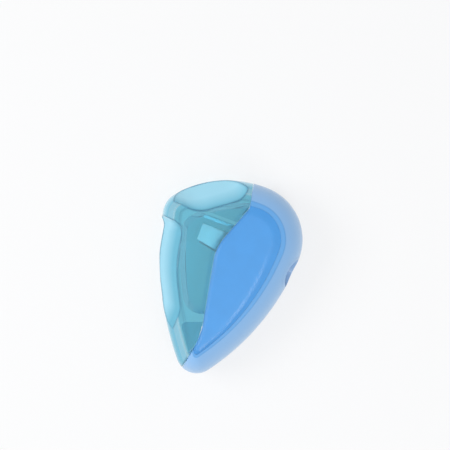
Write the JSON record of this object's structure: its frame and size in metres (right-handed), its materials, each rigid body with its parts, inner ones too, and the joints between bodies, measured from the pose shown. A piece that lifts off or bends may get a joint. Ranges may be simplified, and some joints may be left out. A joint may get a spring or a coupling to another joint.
{
  "type": "pencil sharpener",
  "caption": "Drop-shaped hand-held pencil sharpener: a blue shell with grip panels holds a wedge block with a screwed blade, and a translucent shavings container slides off.",
  "frame": {"origin": "middle of the drop's outline, on the back panel's face, which is what the sharpener lies on", "axes": "+X towards the pencil hole's side, +Y from the drop's tip to its top, +Z out of the front face"},
  "size_m": [0.0472, 0.0636, 0.0228],
  "materials": {
    "shell_plastic": "satin",
    "grip_plastic": "soft-touch matte",
    "carrier_plastic": "satin",
    "block_alloy": "die-cast satin",
    "blade_steel": "ground",
    "screw_steel": "plated",
    "container_plastic": "translucent"
  },
  "bodies": {
    "body": {"body_front_shell": "shell_plastic", "body_back_shell": "shell_plastic", "front_grip_panel": "grip_plastic", "back_grip_panel": "grip_plastic", "inlet_collar": "shell_plastic", "block_carrier": "carrier_plastic", "sharpener_block": "block_alloy", "blade": "blade_steel", "blade_screw": "screw_steel"},
    "container": {"shavings_container": "container_plastic"}
  },
  "joints": [
    {"name": "container_slide", "type": "slide", "parent": "body", "child": "container", "axis": [-0.9336, 0.3584, 0], "range_m": [0, 0.03]}
  ]
}
